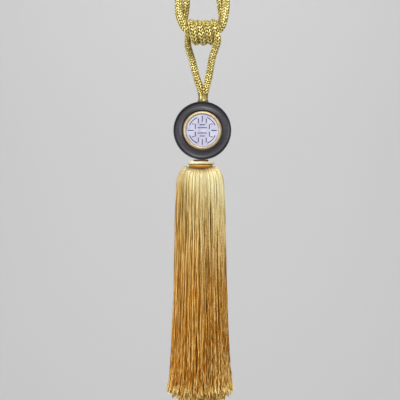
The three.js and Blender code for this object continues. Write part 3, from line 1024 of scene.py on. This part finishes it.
def painted_shade_off_hollow(tree):
    """1 on the bead and in the recess and 0 on the hollow ring between them, from the distance to
    the disc's axis. It marks where the painted shade goes."""
    away = on_object(tree)
    for operation, by in (("SUBTRACT", (0.0, 0.0, DISC_Z * MM)), ("MULTIPLY", (1.0, 0.0, 1.0))):
        links = [(0, away), (1, by)]
        away = add(tree, "ShaderNodeVectorMath", links, operation=operation).outputs["Vector"]
    away = add(tree, "ShaderNodeVectorMath", [(0, away)], operation="LENGTH").outputs["Value"]
    bead = spread(tree, away, *TO_BEAD)
    return reckon(tree, "MAXIMUM", bead, spread(tree, away, *TO_RECESS))


def turned_wood(name, deep, pale, hollowed=False):
    """Two colours mixed by the grain, and black painted shade off the hollow ring."""
    material, tree, shader = new_finish(name, Roughness=0.5, Coat_Weight=0.06, Coat_Roughness=0.3)
    grain = noise(tree, 1.0, 5.0, GRAIN)
    wood = ramp(tree, grain, [(0.3, deep), (0.7, pale)])
    if hollowed:
        # Near black painted shade on the bead and in the recess.
        wood = mixed(tree, painted_shade_off_hollow(tree), wood, colour("050406"))
    dress(tree, shader, wood, grain, 0.00003, 0.3)
    return material


wear(turned_wood("black_wood", "211D26", "322D38", hollowed=True), disc)
wear(turned_wood("brown_wood", "3E260A", "644216"), foot)

# %% [markdown]
# The medallion is moulded plastic, pale, cool and cloudy, and a little light goes into it.


# %% Pale fretwork
def pale_fret():
    """Two pale colours mixed by soft noise, which is also the bump."""
    material, tree, shader = new_finish(
        "pale_fret", Roughness=0.42, Subsurface_Weight=0.1, Subsurface_Scale=0.002)
    cloud = noise(tree, 150.0, 4.0)
    pale = ramp(tree, cloud, [(0.3, "9A9AB2"), (0.7, "B4B4C6")])
    dress(tree, shader, pale, cloud, 0.00008, 0.3)
    return material


wear(pale_fret(), medallion)

# %% [markdown]
# The binding's thread is darker turn by turn, down into the shadow of the skirt's head. The two
# plies that it is twisted from are too fine for faces, so they are a bump.

# %% Amber thread
AMBER_RAMP = [(0.0, "764808"), (0.5, "965E10"), (0.8, "BA8020"), (1.0, "F0BC50")]


def amber_thread():
    """A ramp of the thread's shade, and its ply wave as the bump."""
    material, tree, shader = new_finish("amber_thread", Roughness=0.45, Metallic=0.2)
    amber = ramp(tree, value_on(tree, "shade"), AMBER_RAMP)
    dress(tree, shader, amber, ply_wave(tree, 1.4), 0.00012, 0.6)
    return material


wear(amber_thread(), binding, binding_core)

# %% [markdown]
# The skirt runs from pale cream on the head to deep amber low down: partly the threads' own dye and
# partly a painted sheen on the head. It stays pale further down on the right than on the left, which
# is painted sheen on the right and painted shade on the left. So three ramps read the height: one
# for threads in painted shade, one for lit ones and one for painted glints, which are paler and
# greyer, as silk is where it shines. A thread's shade value, stirred by two noises, chooses between
# them.

# %% Colours of the skirt
HEAD_Z = -0.185
ENDS_Z = -0.420
SIDE_NEAR = 0.006  # metres from the skirt's middle, for the colours' shift to the sides
SIDE_FAR = 0.02
# Painted shade on the left and painted sheen on the right, as shifts of the height's ramps.
PAINTED_SHADE_LEFT = 0.09
PAINTED_SHEEN_RIGHT = 0.05
# Skirt colours along the height: in painted shade, in painted light, and as painted glints.
IN_SHADE = [(0.0, "9A6E2A"), (0.06, "A08444"), (0.15, "866422"), (0.34, "7C500E"),
            (0.56, "7A4000"), (0.9, "804000"), (1.0, "905210")]
IN_LIGHT = [(0.0, "E8DCA8"), (0.05, "E8E2B4"), (0.14, "DECA8E"), (0.32, "DAB262"),
            (0.56, "CE9432"), (0.9, "C68624"), (1.0, "DCA840")]
PAINTED_GLINTS = [(0.0, "E8DCA8"), (0.05, "EAE0B0"), (0.14, "E6D69E"), (0.32, "E4CA94"),
         (0.56, "D4B272"), (0.9, "CEAC6A"), (1.0, "E8CE84")]


def colour_depth(tree, spot):
    """0 at the head and 1 at the ends, with a share added on the left as painted shade and taken off
    on the right as painted sheen, both fading out on the way down."""
    down = spread(tree, split(tree, spot, "Z"), HEAD_Z, ENDS_Z)
    fading = spread(tree, down, 0.45, 0.1)
    across = split(tree, spot, "X")
    middle = SKIRT_X * MM
    to_left = spread(tree, across, middle - SIDE_NEAR, middle - SIDE_FAR, 0.0, PAINTED_SHADE_LEFT)
    to_right = spread(tree, across, middle + SIDE_NEAR, middle + SIDE_FAR, 0.0, PAINTED_SHEEN_RIGHT)
    sideways = reckon(tree, "SUBTRACT", to_left, to_right)
    return reckon(tree, "MULTIPLY_ADD", sideways, fading, down)


# %% Painted glints along the threads
LONG_FLECKS = (1700.0, 1700.0, 90.0)
SHORT_FLECKS = (1700.0, 1700.0, 700.0)


def stirred_shade(tree, spot, down):
    """The threads' shade plus long and short flecks that paint glints and shade along them. The
    flecks are weak on the head, and the short ones are stronger on the right, where the threads are
    crinkled."""
    grown = spread(tree, down, 0.03, 0.25, 0.35, 1.0)
    middle = SKIRT_X * MM
    crinkled = spread(tree, split(tree, spot, "X"), middle - 0.01, middle + 0.02, 0.6, 1.9)
    livelier = reckon(tree, "MULTIPLY", grown, crinkled)
    lit = value_on(tree, "shade")
    for stretch, strength in ((LONG_FLECKS, grown), (SHORT_FLECKS, livelier)):
        fleck = spread(tree, noise(tree, 1.0, 3.0, stretch), 0.3, 0.7, -0.2, 0.26)
        lit = reckon(tree, "MULTIPLY_ADD", fleck, strength, lit, use_clamp=True)
    return lit


# %% Silky threads
def silky_threads():
    """From painted shade to painted light by the shade value, on to the painted glint colour above a
    shade of 0.72, and to pale straw, a painted glint, at the cut ends and crinkles. The warm
    specular tint keeps the shadows from going grey."""
    material, tree, shader = new_finish(
        "silky_threads", Roughness=0.36, Metallic=0.35, Specular_IOR_Level=0.25,
        Specular_Tint=colour("E0A850"))
    spot = on_object(tree)
    down = colour_depth(tree, spot)
    lit = stirred_shade(tree, spot, down)
    body = mixed(tree, lit, ramp(tree, down, IN_SHADE), ramp(tree, down, IN_LIGHT))
    body = mixed(tree, spread(tree, lit, 0.72, 1.0), body, ramp(tree, down, PAINTED_GLINTS))
    # Pale straw is a painted glint at the cut ends and on the crinkles.
    body = mixed(tree, value_on(tree, "tip"), body, colour("FAE698"))
    dress(tree, shader, body, ply_wave(tree, 0.55), 0.00008, 0.5)
    return material


wear(silky_threads(), *threads, skirt_head)

# %% [markdown]
# ## The studio
# A pale floor lies well below, and it curves up into a pale wall far behind, so that no line
# crosses the view. The lamps are broad, for soft shadows: a key from above and in front, weaker
# fills from the left, the right and the front, and one behind that lights the wall alone.

# %% Floor and backdrop
FLOOR_Z = -0.95
FLOOR_FRONT = -4.0
BEND_AT = 2.0
BEND_POINTS = 25
WALL_TOP = 4.0
HALF_WIDTH = 5.0


def sweep():
    """A floor that curves up into a wall: a straight floor, a quarter of a circle of 1 m radius
    and a straight wall, carried sideways."""
    bend = np.linspace(0, math.pi / 2, BEND_POINTS)
    y = np.concatenate([[FLOOR_FRONT], BEND_AT + np.sin(bend), [BEND_AT + 1]])
    z = np.concatenate([[0.0], 1 - np.cos(bend), [WALL_TOP]]) + FLOOR_Z
    x = np.array([-HALF_WIDTH, HALF_WIDTH])
    points = np.stack(np.broadcast_arrays(x[:, None], y, z), -1)
    count = len(y)
    quads = [[k, count + k, count + k + 1, k + 1] for k in range(count - 1)]
    mesh = bpy.data.meshes.new("sweep")
    mesh.from_pydata(points.reshape(-1, 3).tolist(), [], quads)
    mesh.polygons.foreach_set("use_smooth", np.ones(len(mesh.polygons), bool))
    piece = show("sweep", mesh)
    material, _, _ = new_finish("pale_paper", Base_Color=colour("DCDCDC"), Roughness=0.9)
    mesh.materials.append(material)


sweep()

# %% Lamps and the room
TIEBACK = (0, 0, -0.2)
WALL_FOOT = (0, 3, -0.2)
ROOM_LIGHT = 0.36


def soft_lamp(name, at, size, watts, aim=TIEBACK):
    """A square lamp that faces its aim: tilted by the angle between its way and straight down,
    and turned by the angle of its way round the upright axis."""
    lamp = bpy.data.lights.new(name, "AREA")
    lamp.size = size
    lamp.energy = watts
    holder = bpy.data.objects.new(name, lamp)
    offset = np.array(aim) - np.array(at)
    tilt = math.atan2(np.hypot(offset[0], offset[1]), -offset[2])
    holder.location = at
    holder.rotation_euler = (tilt, 0, math.atan2(-offset[0], offset[1]))
    bpy.context.scene.collection.objects.link(holder)
    print("lamp", name, watts, "W")


soft_lamp("key", (0.3, -1.2, 1.4), 0.7, 38)
soft_lamp("left_fill", (-1.5, -0.8, 0.0), 0.9, 18)
soft_lamp("right_fill", (1.5, -0.8, 0.1), 0.9, 6)
soft_lamp("front_fill", (0.1, -1.8, 0.1), 0.8, 6)
soft_lamp("back_wash", (0.0, 1.0, 1.4), 1.0, 15, WALL_FOOT)

world = bpy.data.worlds.new("room")
world.use_nodes = True
room = world.node_tree.nodes["Background"]
room.inputs["Color"].default_value = colour("E6E6E6")
room.inputs["Strength"].default_value = ROOM_LIGHT
bpy.context.scene.world = world
bpy.context.scene.view_settings.view_transform = "Standard"
